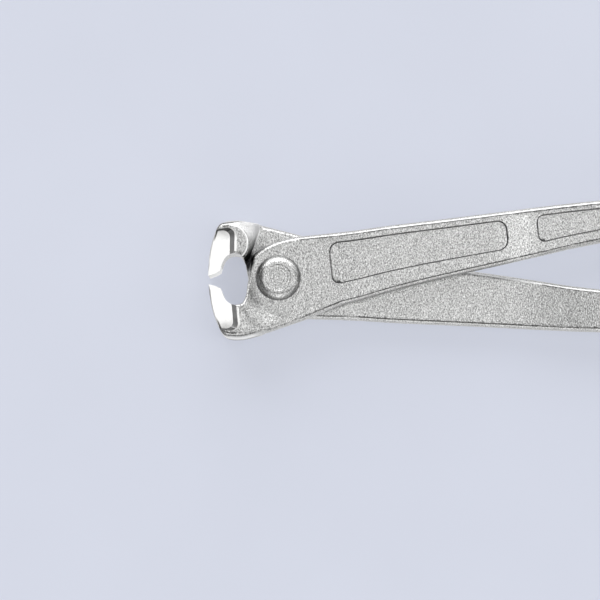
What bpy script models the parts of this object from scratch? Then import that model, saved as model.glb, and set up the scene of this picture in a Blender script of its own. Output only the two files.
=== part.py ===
"""Rebar tying pliers: end-cutting nippers made of two half-lapped forged levers and one solid rivet.

+X runs from the rivet to the handle ends, +Y to the front lever's handle, +Z along the rivet to the front.
The origin lies on the rivet axis, on the flat of the rear rivet head. Lengths are in metres, angles degrees.
The levers stand a little open, as they lie on a bench.
"""
import math

import bmesh
import bpy
from mathutils import Vector

MM = 0.001

# Plan sizes of one lever, from the rivet axis, with the tool closed
TIP_REACH = 25.3 * MM  # rivet axis to the cutting edge
JAW_DEPTH = 21.0 * MM  # middle line of the tool to the lowest point of the jaw
EDGE_LAND = 0.25 * MM  # width of the ground cutting edge
EDGE_GAP = 0.3 * MM  # left between the cutting edges when the tool is closed
HANDLE_REACH = 275.0 * MM  # rivet axis to the handle end
HANDLE_SPREAD = 29.0 * MM  # middle line to the outer edge of the grip
END_ROUND = 6.5 * MM  # length of the rounded handle end

# Heights, from the lap plane
CHEEK = 11.5 * MM  # forged cheek of the jaw
FLANK = 10.3 * MM  # ground flank beside the cutting edge
BOSS_FACE = 6.6 * MM  # outer face of the boss
LAP_GAP = 0.3 * MM  # between the two machined lap faces
ARM_FACE = 6.9 * MM  # outer face of the handle beside the joint
ARM_LAP = 1.0 * MM  # inner face of the handle beside the joint
GRIP_HALF = 3.8 * MM  # half the thickness of the grip
SKIM = 0.08 * MM  # stock that machining takes off the lap face

# Where the surfaces change, along the tool
FLANK_EDGE = -17.75 * MM  # end of the ground flank
FLANK_FOOT = -16.6 * MM  # lower end of the ground flank
FLANK_CORNER = 2.6 * MM
FLANK_RUN = 1.7 * MM  # width of the hollow that the wheel leaves behind the flank
FLANK_FOOT_RUN = 0.6 * MM  # and below it
CHEEK_END = -15.0 * MM  # the forged cheek starts to fall
NECK_END = 7.0 * MM  # and has come down to the boss face
BOSS_RADIUS = 10.0 * MM  # the level seat round the rivet head, across the tool
BOSS_SHARE = 0.8  # share of that along the tool
BOSS_BLEND = 11.5 * MM  # width of the slope from that seat up to the cheek
LAP_LAND = 22.0 * MM  # the machined lap land ends between here
LAP_END = 31.0 * MM  # and here
FACE_FALL = 82.0 * MM  # the outer face leaves its layer
FACE_GRIP = 126.0 * MM  # and has reached the middle of the tool
LAP_FALL = 86.0 * MM  # the same for the inner face
LAP_GRIP = 129.0 * MM
ROUND_START = 95.0 * MM  # the edges grow rounder from here
ROUND_END = 130.0 * MM  # to here
BITE_EDGE = 0.5 * MM  # rounding of the forged edges: bite,
JAW_EDGE = 1.7 * MM  # back of the jaw,
ARM_EDGE = 1.5 * MM  # boss and handle,
GRIP_EDGE = 2.6 * MM  # and grip
BITE_RISE = (1.0 * MM, 10.0 * MM)  # heights across the tool at which the bite's edge turns into the boss's
DRAFT = 0.09  # slope of the forged sides, away from the parting line half-way up
NOSE_DRAFT = (-23.0 * MM, -19.0 * MM)  # the ground nose has none; it comes in between these places
BITE_DRAFT = (-12.6 * MM, -10.5 * MM)  # nor has the bite
END_THICKNESS = 0.45  # share of the grip's thickness left at the very end

# Raised rims are left round two sunk panels in the outer face of each handle
PANEL_DEPTH = 0.7 * MM
PANEL_DRAFT = 0.4 * MM
PANELS = ((19.2 * MM, 84.3 * MM, 3.6 * MM), (95.2 * MM, 176.0 * MM, 2.7 * MM))  # start, end, corner radius
RIM_START = 19.2 * MM  # the rims beside the panels narrow from here
RIM_MIDDLE = 92.0 * MM
RIM_END = 150.0 * MM
RIM_OUTER = (3.5 * MM, 3.0 * MM, 2.7 * MM)  # at those three places
RIM_INNER = (7.9 * MM, 4.4 * MM, 3.6 * MM)

# Step between jaw and lap: its foot on the lap face, and the same wall at the cheek
STEP_FOOT = ((-16.5 * MM, 24.0 * MM), (-16.5 * MM, -2.5 * MM), (-11.4 * MM, -7.1 * MM),
             (-10.2 * MM, -10.1 * MM), (-9.0 * MM, -13.5 * MM), (-8.3 * MM, -15.6 * MM),
             (-7.6 * MM, -18.0 * MM), (-6.2 * MM, -25.0 * MM))
STEP_HEAD = ((-16.5 * MM, 24.0 * MM), (-16.5 * MM, -4.0 * MM), (-13.0 * MM, -7.4 * MM),
             (-11.8 * MM, -10.1 * MM), (-11.1 * MM, -13.0 * MM), (-11.9 * MM, -15.8 * MM),
             (-14.6 * MM, -18.0 * MM), (-24.0 * MM, -21.0 * MM))
STEP_FILLET = 0.8 * MM
STEP_SLOPE = 2.4 * MM  # height of the wall's sloping top
STEP_LEAN = 0.25  # share of the wall's run below that

# Joint
RIVET_SHANK = 5.0 * MM
RIVET_HEAD = 8.05 * MM
RIVET_FLAT = 5.4 * MM
RIVET_HEIGHT = 3.0 * MM
SHOULDER_FOOT = 84.0  # slope of the rivet's shoulder at its foot
SHOULDER_FLAT = 22.0  # and at the flat
FIT = 0.3 * MM
OPENED = 3.3  # each lever's turn from closed, as drawn

MIDDLE = BOSS_FACE + FIT + RIVET_HEIGHT  # height of the lap plane above the origin
MARGIN = 3.0 * MM  # by which a cutter stands clear of the piece
SPANS = 3  # sections from one station to the next

# Bite side, then underside, of the jaw, station by station from the tip: shares of TIP_REACH along the tool
# and of JAW_DEPTH across it. The last but one row runs along the foot of the step wall.
JAW_SHARES = (
    ((-0.905, -0.045), (-0.999, -0.160)),
    ((-0.836, -0.092), (-0.992, -0.330)),
    ((-0.812, -0.195), (-0.971, -0.500)),
    ((-0.782, -0.290), (-0.938, -0.655)),
    ((-0.736, -0.357), (-0.893, -0.822)),
    ((-0.688, -0.388), (-0.838, -0.932)),
    ((-0.644, -0.400), (-0.740, -0.984)),
    ((-0.593, -0.395), (-0.585, -1.000)),
    ((-0.537, -0.368), (-0.411, -0.972)),
    ((-0.483, -0.240), (-0.275, -0.942)),
)
# The same from the step wall round the boss to the handle
NECK_SHARES = (
    ((-0.470, -0.170), (-0.045, -0.874)),
    ((-0.455, -0.075), (0.164, -0.814)),
    ((-0.418, 0.105), (0.285, -0.779)),
    ((-0.389, 0.275), (0.375, -0.752)),
    ((-0.344, 0.419), (0.445, -0.727)),
    ((-0.241, 0.510), (0.520, -0.699)),
    ((-0.103, 0.590), (0.610, -0.665)),
    ((0.012, 0.636), (0.705, -0.632)),
    ((0.178, 0.671), (0.800, -0.600)),
    ((0.383, 0.687), (0.900, -0.567)),
)
# Handle stations: share of HANDLE_REACH along the tool, then inner and outer edge as shares of HANDLE_SPREAD
HANDLE_SHARES = (
    (0.104, -0.378, 0.506),
    (0.147, -0.300, 0.524),
    (0.193, -0.232, 0.536),
    (0.238, -0.175, 0.546),
    (0.291, -0.108, 0.560),
    (0.345, -0.024, 0.574),
    (0.385, 0.036, 0.583),
    (0.426, 0.078, 0.587),
    (0.480, 0.122, 0.598),
    (0.545, 0.188, 0.645),
    (0.640, 0.296, 0.748),
    (0.740, 0.408, 0.858),
    (0.840, 0.500, 0.948),
    (0.915, 0.546, 0.990),
)


def smooth(low, high, value):
    """0 below low, 1 above high and an S-curve between them."""
    t = min(max((value - low) / (high - low), 0.0), 1.0)
    return t * t * (3.0 - 2.0 * t)


def mix(a, b, t):
    return a + (b - a) * t


def through(points, steps):
    """Points of a smooth curve through the given ones (Catmull-Rom)."""
    ends = [points[0] * 2 - points[1]] + list(points) + [points[-1] * 2 - points[-2]]
    curve = []
    for a, b, c, d in zip(ends, ends[1:], ends[2:], ends[3:]):
        for step in range(steps):
            t = step / steps
            curve.append(0.5 * ((2 * b) + (c - a) * t + (2 * a - 5 * b + 4 * c - d) * t * t
                                + (3 * b - a - 3 * c + d) * t * t * t))
    return curve + [points[-1]]


def face_height(x, y):
    """Outer face of the lever above the lap plane: cheek, slope to the boss, handle, bend to the middle."""
    raised = 1.0 - smooth(CHEEK_END, NECK_END, x)
    raised *= smooth(BOSS_RADIUS, BOSS_RADIUS + BOSS_BLEND, math.hypot(x / BOSS_SHARE, y))
    arm = mix(BOSS_FACE, ARM_FACE, smooth(BOSS_RADIUS, LAP_END, x))
    return mix(arm, CHEEK, raised) + (GRIP_HALF - ARM_FACE) * smooth(FACE_FALL, FACE_GRIP, x)


def lap_height(x, y):
    """Inner face of the lever above the lap plane, before the lap is machined."""
    arm = mix(LAP_GAP / 2 - SKIM, ARM_LAP, smooth(LAP_LAND, LAP_END, x))
    return mix(arm, -GRIP_HALF, smooth(LAP_FALL, LAP_GRIP, x))


def jaw_height(x, y):
    return -CHEEK


def stations():
    """Outer or bite side point, inner side point and inner face, from the cutting edge to the handle end."""
    tip = (Vector((-TIP_REACH + EDGE_LAND, -EDGE_GAP / 2)), Vector((-TIP_REACH, -EDGE_GAP / 2)))
    size = Vector((TIP_REACH, JAW_DEPTH))
    rows = [tuple(Vector(p) * size for p in row) for row in JAW_SHARES + NECK_SHARES]
    for along, inner, outer in HANDLE_SHARES:
        x = along * HANDLE_REACH
        rows.append((Vector((x, outer * HANDLE_SPREAD)), Vector((x, inner * HANDLE_SPREAD))))
    upper = through([row[0] for row in rows[1:]], SPANS)
    lower = through([row[1] for row in rows[1:]], SPANS)
    pairs = list(zip(upper, lower))
    step = SPANS * (len(JAW_SHARES) - 2)
    line = [(up, low, jaw_height) for up, low in [tip, rows[0]] + pairs[:step + 1]]
    line.append((*[mix(a, b, 0.3) for a, b in zip(pairs[step], pairs[step + 1])], lap_height))
    line += [(up, low, lap_height) for up, low in pairs[step + 1:]]
    (far_up, far_low, _), (near_up, near_low, _) = line[-1], line[-3]
    middle, half = (far_up + far_low) / 2, (far_up - far_low) / 2
    ahead = (middle - (near_up + near_low) / 2).normalized()
    start = middle + ahead * (HANDLE_REACH - END_ROUND - middle.x) / ahead.x
    line.append((start + half, start - half, lap_height))
    for turn in (30, 52, 70, 84):
        angle = math.radians(turn)
        centre = start + ahead * END_ROUND * math.sin(angle)
        line.append((centre + half * math.cos(angle), centre - half * math.cos(angle), lap_height))
    return line


def slimmed(x):
    """Share of the thickness that is left where the handle end rounds off."""
    reach = max(x - HANDLE_REACH + END_ROUND, 0.0) / END_ROUND
    return mix(END_THICKNESS, 1.0, math.sqrt(max(1.0 - reach * reach, 0.0)))


def ring(upper, lower, lap):
    """Closed section of the forging between two plan points: rounded edges, sides drafted from mid-height."""
    across = lower - upper
    width = across.length
    inward = across / width
    along = (upper.x + lower.x) / 2
    slim = slimmed(along)
    bite = mix(BITE_EDGE, ARM_EDGE, smooth(BITE_RISE[0], BITE_RISE[1], upper.y))
    jaw = mix(JAW_EDGE, ARM_EDGE, smooth(CHEEK_END, 0.0, along))
    rounder = smooth(ROUND_START, ROUND_END, along)
    edges = [min(mix(near, GRIP_EDGE, rounder), width * 0.4) for near in (bite, jaw)]
    middle = upper + across / 2
    tall = (face_height(middle.x, middle.y) - lap(middle.x, middle.y)) / 2 * slim
    drawn = min(DRAFT * tall, width * 0.08)
    first = drawn * smooth(*BITE_DRAFT, upper.x)
    last = drawn * smooth(*NOSE_DRAFT, lower.x)
    begin, end = upper + inward * (edges[0] + first), lower - inward * (edges[1] + last)
    spots = [begin + (end - begin) * k / 5 for k in range(6)]
    turns = [math.radians(a) for a in (0, 30, 60, 90)]
    section = []
    for side, height, order in ((1, face_height, spots), (-1, lap, spots[::-1])):
        if side == 1:
            z = (face_height(upper.x, upper.y) + lap(upper.x, upper.y)) / 2 * slim
            section.append((upper.x, upper.y, z))
        else:
            z = (face_height(lower.x, lower.y) + lap(lower.x, lower.y)) / 2 * slim
            section.append((lower.x, lower.y, z))
        for place, spot in enumerate(order):
            z = height(spot.x, spot.y) * slim
            if place not in (0, len(order) - 1):
                section.append((spot.x, spot.y, z))
                continue
            out, edge = (-inward, edges[0]) if spot is spots[0] else (inward, edges[1])
            for a in (turns if place == 0 else turns[::-1]):
                at = spot + out * edge * math.cos(a)
                section.append((at.x, at.y, z - side * edge * (1 - math.sin(a))))
    return section


def loft(bm, sections):
    """Skin over closed sections with the same number of corners, capped at both ends."""
    loops = [[bm.verts.new(p) for p in section] for section in sections]
    for one, two in zip(loops, loops[1:]):
        for k in range(len(one)):
            j = (k + 1) % len(one)
            bm.faces.new((one[k], one[j], two[j], two[k]))
    bm.faces.new(loops[0][::-1])
    bm.faces.new(loops[-1])
    bmesh.ops.recalc_face_normals(bm, faces=bm.faces)


def mesh_object(name, bm, material=None):
    mesh = bpy.data.meshes.new(name)
    bmesh.ops.recalc_face_normals(bm, faces=bm.faces)
    bm.to_mesh(mesh)
    bm.free()
    part = bpy.data.objects.new(name, mesh)
    bpy.context.scene.collection.objects.link(part)
    if material:
        mesh.materials.append(material)
    return part


def cut(part, cutter):
    cutter.parent = part
    cutter.hide_render = True
    cutter.display_type = "WIRE"
    boolean = part.modifiers.new(cutter.name, "BOOLEAN")
    boolean.operation = "DIFFERENCE"
    boolean.solver = "EXACT"
    boolean.object = cutter


def step_cutter(name):
    """Takes the stock off the lap face up to the step wall: a fillet, a drafted wall and a sloping top."""
    foot = through([Vector(p) for p in STEP_FOOT[1:]], SPANS)
    head = through([Vector(p) for p in STEP_HEAD[1:]], SPANS)
    lap, rise = LAP_GAP / 2, CHEEK + LAP_GAP / 2
    sections = []
    levels = [(STEP_FILLET * (1 - math.sin(a)), STEP_FILLET * (1 - math.cos(a)), 0.0)
              for a in (0.0, math.pi / 6, math.pi / 3, math.pi / 2)]
    levels.append((0.0, rise - STEP_SLOPE, STEP_LEAN))
    levels.append((0.0, rise + MARGIN, 1.0 + (1.0 - STEP_LEAN) * MARGIN / STEP_SLOPE))
    for back, down, share in levels:
        wall = [a + (b - a) * share + Vector((back, 0.0)) for a, b in zip(foot, head)]
        first = Vector((wall[0].x, STEP_FOOT[0][1]))
        outline = [first] + wall
        outline += [Vector((LAP_END + MARGIN, STEP_FOOT[-1][1])), Vector((LAP_END + MARGIN, STEP_FOOT[0][1]))]
        sections.append([(p.x, p.y, lap - down) for p in outline])
    bm = bmesh.new()
    loft(bm, sections)
    return mesh_object(name, bm)


def flank_cutter(name, side):
    """Grinds the jaw's flank flat beside the cutting edge, with the hollow that the wheel leaves round it."""
    rise = CHEEK - FLANK
    radius = (FLANK_RUN * FLANK_RUN + rise * rise) / (2 * rise)
    sweep = math.asin(FLANK_RUN / radius)
    turns = [sweep * k / 4 for k in range(5)]
    levels = [(math.sin(turn) / math.sin(sweep), radius * (1 - math.cos(turn))) for turn in turns]
    levels.append((1 + MARGIN / math.tan(sweep) / FLANK_RUN, rise + MARGIN))
    sections = []
    for share, up in levels:
        edge, foot = FLANK_EDGE + share * FLANK_RUN, FLANK_FOOT - share * FLANK_FOOT_RUN
        outline = [(-TIP_REACH - MARGIN, MARGIN), (edge, MARGIN)]
        for k in range(6):
            turn = math.pi / 2 * k / 5
            back, up_foot = FLANK_CORNER * (1 - math.cos(turn)), FLANK_CORNER * (1 - math.sin(turn))
            outline.append((edge - back, foot + up_foot))
        outline.append((-TIP_REACH - MARGIN, foot + FLANK_CORNER / 2))
        sections.append([(x, y, side * (FLANK + up)) for x, y in outline])
    bm = bmesh.new()
    loft(bm, sections)
    return mesh_object(name, bm)


def edges_at(x, line):
    """Outer and inner edge of the handle at a place along it."""
    found = []
    for side in (0, 1):
        edge = [row[side] for row in line if row[side].x > RIVET_SHANK]
        a, b = next((a, b) for a, b in zip(edge, edge[1:]) if a.x <= x <= b.x)
        found.append(mix(a.y, b.y, (x - a.x) / (b.x - a.x)))
    return found


def rim(widths, x):
    near = min(max((x - RIM_START) / (RIM_MIDDLE - RIM_START), 0.0), 1.0)
    far = min(max((x - RIM_MIDDLE) / (RIM_END - RIM_MIDDLE), 0.0), 1.0)
    return mix(widths[0], widths[1], near) + (widths[2] - widths[1]) * far


def panel_row(start, end, corner, inset, line):
    """Places along a panel's outline, each with its outer and inner edge; inset moves the outline inwards."""
    start, end, corner = start + inset, end - inset, corner - inset
    near = [corner * (1 - math.cos(math.pi / 2 * k / 5)) for k in range(6)]
    span = end - start - 2 * corner
    places = [start + d for d in near] + [start + corner + span * k / 12 for k in range(1, 12)]
    places += [end - d for d in near[::-1]]
    row = []
    for x in places:
        left = corner - min(x - start, end - x, corner)
        turned = corner - math.sqrt(corner * corner - left * left)
        outer, inside = edges_at(x, line)
        row.append((x, outer - rim(RIM_OUTER, x) - inset - turned,
                    inside + rim(RIM_INNER, x) + inset + turned))
    return row


def panel_cutter(name, start, end, corner, line):
    """Sinks one panel into the outer face: rounded corners, drafted sides, floor parallel to the face."""
    flare = PANEL_DRAFT * MARGIN / PANEL_DEPTH
    floor = panel_row(start, end, corner, PANEL_DRAFT, line)
    lip = panel_row(start, end, corner, -flare, line)
    sections = []
    for (x, top, low), (over, high, deep) in zip(floor, lip):
        z = face_height(x, top) - PANEL_DEPTH
        up = face_height(over, high) + MARGIN
        sections.append([(x, top, z), (x, low, z), (over, deep, up), (over, high, up)])
    bm = bmesh.new()
    loft(bm, sections)
    return mesh_object(name, bm)


def bore_cutter(name):
    bm = bmesh.new()
    bmesh.ops.create_cone(bm, cap_ends=True, segments=48, radius1=RIVET_SHANK + FIT,
                          radius2=RIVET_SHANK + FIT, depth=2 * (CHEEK + MARGIN))
    return mesh_object(name, bm)


def lever(name, material, front):
    """One forging, drawn closed with its jaw below and its handle above the middle, then put in place."""
    line = stations()
    bm = bmesh.new()
    loft(bm, [ring(*row) for row in line])
    part = mesh_object(name, bm, material)
    cut(part, step_cutter(name + "_step_cut"))
    cut(part, bore_cutter(name + "_bore_cut"))
    cut(part, flank_cutter(name + "_front_flank_cut", 1))
    cut(part, flank_cutter(name + "_rear_flank_cut", -1))
    for letter, (start, end, corner) in zip("ab", PANELS):
        cut(part, panel_cutter(name + "_panel_cut_" + letter, start, end, corner, line))
    part.location = (0.0, 0.0, MIDDLE)
    turn = math.radians(OPENED)
    part.rotation_euler = (0.0, 0.0, turn) if front else (math.pi, 0.0, -turn)
    return part


def rivet(name, material):
    """Shank and two heads turned as one profile; a round shoulder meets each head's wide flat in a crease."""
    seat = BOSS_FACE + FIT
    foot, flat = math.radians(SHOULDER_FOOT), math.radians(SHOULDER_FLAT)
    wide, tall = math.sin(foot) - math.sin(flat), math.cos(flat) - math.cos(foot)
    dome = []
    for k in range(8):
        angle = mix(foot, flat, k / 7)
        dome.append((mix(RIVET_FLAT, RIVET_HEAD, (math.sin(angle) - math.sin(flat)) / wide),
                     seat + RIVET_HEIGHT * mix(0.12, 1.0, (math.cos(angle) - math.cos(foot)) / tall)))
    half = [(RIVET_SHANK, seat), (RIVET_HEAD, seat)] + dome + [(0.0, seat + RIVET_HEIGHT)]
    profile = [(x, -z) for x, z in half[::-1]] + half
    bm = bmesh.new()
    verts = [bm.verts.new((x, 0.0, z)) for x, z in profile]
    edges = [bm.edges.new(pair) for pair in zip(verts, verts[1:])]
    bmesh.ops.spin(bm, geom=verts + edges, cent=(0.0, 0.0, 0.0), axis=(0.0, 0.0, 1.0), angle=2 * math.pi,
                   steps=48, use_merge=True)
    bmesh.ops.remove_doubles(bm, verts=bm.verts, dist=0.001 * MM)
    part = mesh_object(name, bm, material)
    part.location = (0.0, 0.0, MIDDLE)
    return part


def steel(name, colour, roughness):
    material = bpy.data.materials.new(name)
    material.use_nodes = True
    shader = material.node_tree.nodes["Principled BSDF"]
    shader.inputs["Base Color"].default_value = (*colour, 1.0)
    shader.inputs["Metallic"].default_value = 1.0
    shader.inputs["Roughness"].default_value = roughness
    return material


def main():
    for old in list(bpy.data.objects):
        bpy.data.objects.remove(old)
    plated = steel("zinc_plated_forging", (0.62, 0.63, 0.64), 0.42)
    bright = steel("zinc_plated_rivet", (0.68, 0.68, 0.69), 0.32)
    parts = [lever("front_lever", plated, True), lever("rear_lever", plated, False)]
    for part in parts + [rivet("joint_rivet", bright)]:
        faces = part.data.polygons
        part.data.set_sharp_from_angle(angle=math.radians(32))
        faces.foreach_set("use_smooth", [True] * len(faces))


main()
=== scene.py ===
"""Rebar tying pliers: two drop-forged, zinc-plated levers and their rivet, lit on a pale bench.

The plan of a lever is drawn closed, in metres from the rivet axis, with its jaw below and its
handle above the middle line. The same forging, turned over, is the rear lever.
"""
import math

import bpy
from bpy.props import FloatProperty, FloatVectorProperty, IntProperty, PointerProperty
from bpy.types import Operator, Panel, PropertyGroup
from mathutils import Euler, Matrix, Vector


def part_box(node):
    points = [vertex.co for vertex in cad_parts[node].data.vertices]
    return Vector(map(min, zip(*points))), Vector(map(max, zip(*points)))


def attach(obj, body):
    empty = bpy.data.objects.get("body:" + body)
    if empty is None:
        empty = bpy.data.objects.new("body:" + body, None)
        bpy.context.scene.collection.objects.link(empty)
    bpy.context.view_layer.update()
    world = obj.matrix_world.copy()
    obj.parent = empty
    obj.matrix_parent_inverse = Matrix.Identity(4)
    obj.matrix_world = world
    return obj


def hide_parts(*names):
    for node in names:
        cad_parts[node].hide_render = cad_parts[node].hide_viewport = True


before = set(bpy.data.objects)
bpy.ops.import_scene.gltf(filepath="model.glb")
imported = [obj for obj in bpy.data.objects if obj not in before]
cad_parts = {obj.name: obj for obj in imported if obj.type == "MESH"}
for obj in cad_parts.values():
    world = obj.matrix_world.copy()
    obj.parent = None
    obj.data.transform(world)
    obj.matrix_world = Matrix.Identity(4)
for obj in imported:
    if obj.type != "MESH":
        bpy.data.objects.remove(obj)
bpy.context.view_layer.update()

bl_info = {
    "name": "Rebar Tying Pliers",
    "version": (1, 0, 0),
    "blender": (4, 5, 0),
    "location": "3D View > Sidebar > Pliers",
    "description": "Forged levers, rivet, finishes and studio for the rebar tying pliers",
    "category": "Object",
}

MM = 0.001
RIVET_LOW, RIVET_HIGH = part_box("joint_rivet")
MIDDLE = (RIVET_LOW.z + RIVET_HIGH.z) / 2  # height of the lap plane, half-way along the rivet
BENCH_DROP = 0.05 * MM  # keeps the bench just clear of the cheek that rests on it
FLOOR = min(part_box(node)[0].z for node in ("front_lever", "rear_lever")) - BENCH_DROP

# Plan of one lever, closed, from the rivet axis
TIP_REACH, JAW_DEPTH = 25.3 * MM, 21.0 * MM
EDGE_LAND, EDGE_GAP = 0.25 * MM, 0.3 * MM  # flat along the cutting edge, gap between the closed edges
HANDLE_REACH, HANDLE_SPREAD = 275.0 * MM, 29.0 * MM
END_ROUND, END_THICKNESS = 6.5 * MM, 0.45  # rounding of the handle end, share of its thickness left
END_STEPS = (0.2, 0.4, 0.6, 0.8, 1.0)  # sections up to the rounding, as shares of the way
END_TURNS = (15, 30, 42, 52, 61, 70, 78, 84)  # sections round the end, in degrees
OPENED = math.radians(3.3)  # turn of each lever from closed to the opening at rest

# Heights above the lap plane, and the places between which one gives way to the next
CHEEK, BOSS_FACE, ARM_FACE, GRIP_HALF = 11.5 * MM, 6.6 * MM, 6.9 * MM, 3.8 * MM
LAP_GAP, ARM_LAP, SKIM = 0.3 * MM, 1.0 * MM, 0.08 * MM
CHEEK_END, NECK_END = -15.0 * MM, 7.0 * MM
BOSS_RADIUS, BOSS_SHARE, BOSS_BLEND = 10.0 * MM, 0.8, 11.5 * MM
LAP_LAND, LAP_END = 22.0 * MM, 31.0 * MM
FACE_FALL, FACE_GRIP = 82.0 * MM, 126.0 * MM
LAP_FALL, LAP_GRIP = 86.0 * MM, 129.0 * MM

# Rounding of the forged edges, and draft of the sides
BITE_EDGE, JAW_EDGE, ARM_EDGE, GRIP_EDGE = 0.5 * MM, 1.7 * MM, 1.5 * MM, 2.6 * MM
ROUND_START, ROUND_END = 120.0 * MM, 155.0 * MM  # where the arm's edges grow round for the hand
BITE_RISE = (1.0 * MM, 10.0 * MM)  # places across the tool between which the boss edge grows round
EDGE_LIMIT = 0.4  # largest rounding, as a share of the lever's width
DRAFT, DRAFT_LIMIT = 0.09, 0.08  # draft as a share of the height, and its largest share of the width
NOSE_DRAFT, BITE_DRAFT = (-23.0 * MM, -19.0 * MM), (-12.6 * MM, -10.5 * MM)  # where draft sets in
ACROSS = 12  # spaces between the points across a section

# Grinding stock, as shares of the jaw's depth and reach between which it grows or fades
STOCK_FOOT, STOCK_BITE, STOCK_TIP = (-0.90, -0.60), (-0.20, -0.09), -0.80
STOCK_RISE = Vector((0.3, 1.0))  # way in which the bite side grows

# Sunk panels: start, end and corner of each; rims beside them at three places along the handle
PANELS = ((19.2 * MM, 84.3 * MM, 3.6 * MM), (95.2 * MM, 176.0 * MM, 2.7 * MM))
RIM_START, RIM_MIDDLE, RIM_END = 19.2 * MM, 92.0 * MM, 150.0 * MM
RIM_OUTER = (3.5 * MM, 3.1 * MM, 2.9 * MM)
RIM_INNER = (7.9 * MM, 4.7 * MM, 4.4 * MM)
PANEL_STEPS, FLOOR_STEPS = 40, 6  # points along a panel's side and across its floor
# Section of a panel's wall: inset in wall widths, and height in panel depths
PANEL_PROFILE = ((2.0, 0.0), (1.6, -0.08), (1.25, -0.30), (1.0, -0.30), (0.75, 0.05), (0.5, 0.45),
                 (0.25, 0.82), (-0.1, 0.98), (-0.8, 1.06), (-2.4, 1.5))

# Step wall of the lap joint, in millimetres, along its foot and along its upper edge
STEP_FOOT = ((-16.5, 24.0), (-16.5, -2.5), (-11.4, -7.1), (-10.2, -10.1), (-9.0, -13.5),
             (-8.3, -15.6), (-7.6, -18.0), (-6.2, -25.0))
STEP_HEAD = ((-16.5, 24.0), (-16.5, -4.0), (-13.0, -7.4), (-11.8, -10.1), (-11.1, -13.0),
             (-11.9, -15.8), (-14.6, -18.0), (-24.0, -21.0))
STEP_FILLET, FILLET_STEPS = 0.8 * MM, 6
STEP_SLOPE, STEP_LEAN = 2.4 * MM, 0.25  # height of the wall's sloping top, share of its run below that
STEP_SHARE = 0.6  # where the inner face leaves the cheek, as a share of the way to the next section
CREST = (-16.96 * MM, 13.11 * MM)  # middle of the circle that the wall's upper edge follows
CREST_RADIUS = 6.65 * MM

# Ground faces
FLANK_EDGE, FLANK_FOOT, FLANK_CORNER = -17.75 * MM, -16.6 * MM, 2.6 * MM
HOLLOW_STEPS, HOLLOW_CURVE = 8, 0.05  # sections of the hollow, and how much it curves
FOOT_RUN, FOOT_LIP = 0.9 * MM, 0.12 * MM  # width of the hollow's steep foot, and of the lip below it
LIP, LIP_SKIM = 0.8 * MM, 0.04 * MM  # width and depth of the skimmed lip beside the hollow
FLAT = 0.985  # upright part of the direction of a flat face
FOOT_TURN = 1.6  # a foot faces this many times more across the tool than along it
NOSE_BREAK, BREAK_DEPTH = 0.4 * MM, 1.5  # broken edge of the nose: width, and its depth in widths
BREAK_LOW, BREAK_HIGH = (-17.5 * MM, -14.5 * MM), (-2.0 * MM, -0.4 * MM)  # where it fades out
NOSE_ROWS, BEVEL_ROWS = 6, 2  # ground sections, from the cutting edge down and on the bite side
BEVEL_END, NOSE_CLEAR = 0.76, 1.5  # ends of the nose's cutter, as shares of the jaw's reach

# Rivet: shank radius and running fit, slopes of the shoulder at its foot and at the flat
RIVET_SHANK, FIT = 5.0 * MM, 0.3 * MM
SHOULDER_SLOPES = (math.radians(84), math.radians(22))
SHOULDER_FOOT = 0.12  # height at which the shoulder starts, as a share of the head's
SHOULDER_STEPS, RIVET_SIDES, BORE_SIDES = 16, 128, 96
RIM_BREAK = (0.35 * MM, 0.08 * MM, 0.1 * MM)  # broken edge under the head: two insets, height
DISH = (0.12 * MM, 0.3 * MM)  # insets at which the flat starts to sink, and has sunk
DISH_DEPTHS = (0.05 * MM, 0.06 * MM)  # how deep it is there and in the middle
HEAD_RADIUS = (RIVET_HIGH.x - RIVET_LOW.x) / 2

MARGIN = 3.0 * MM  # how far cutters reach past the metal
SPANS = 6  # sections from row to row of the plan
CORNER_STEPS = 10  # points round a rounded corner
MERGE, RIVET_MERGE = 1e-7, 1e-6  # points closer than this are one

# Plan, as shares of the tip's reach and the jaw's depth: bite side, outer side
JAW_SHARES = (
    ((-0.905, -0.045), (-0.999, -0.160)), ((-0.836, -0.092), (-0.992, -0.330)),
    ((-0.812, -0.195), (-0.971, -0.500)), ((-0.782, -0.290), (-0.938, -0.655)),
    ((-0.736, -0.357), (-0.893, -0.822)), ((-0.688, -0.388), (-0.838, -0.932)),
    ((-0.644, -0.400), (-0.740, -0.984)), ((-0.593, -0.395), (-0.585, -1.000)),
    ((-0.537, -0.368), (-0.411, -0.972)), ((-0.483, -0.240), (-0.275, -0.942)),
)
NECK_SHARES = (
    ((-0.470, -0.170), (-0.045, -0.874)), ((-0.455, -0.075), (0.164, -0.814)),
    ((-0.418, 0.105), (0.285, -0.779)), ((-0.389, 0.275), (0.375, -0.752)),
    ((-0.344, 0.419), (0.445, -0.727)), ((-0.241, 0.510), (0.520, -0.699)),
    ((-0.103, 0.590), (0.610, -0.665)), ((0.012, 0.636), (0.705, -0.632)),
    ((0.178, 0.671), (0.800, -0.600)), ((0.383, 0.687), (0.900, -0.567)),
)
# Plan, as shares of the handle's reach and spread: place along it, inner side, outer side
HANDLE_SHARES = (
    (0.104, -0.378, 0.506), (0.147, -0.300, 0.524), (0.193, -0.232, 0.536), (0.238, -0.175, 0.546),
    (0.291, -0.112, 0.561), (0.345, -0.045, 0.578), (0.385, 0.010, 0.590), (0.426, 0.052, 0.597),
    (0.480, 0.105, 0.604), (0.545, 0.188, 0.645), (0.640, 0.296, 0.748), (0.740, 0.408, 0.858),
    (0.840, 0.500, 0.948), (0.915, 0.546, 0.990),
)

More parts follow.
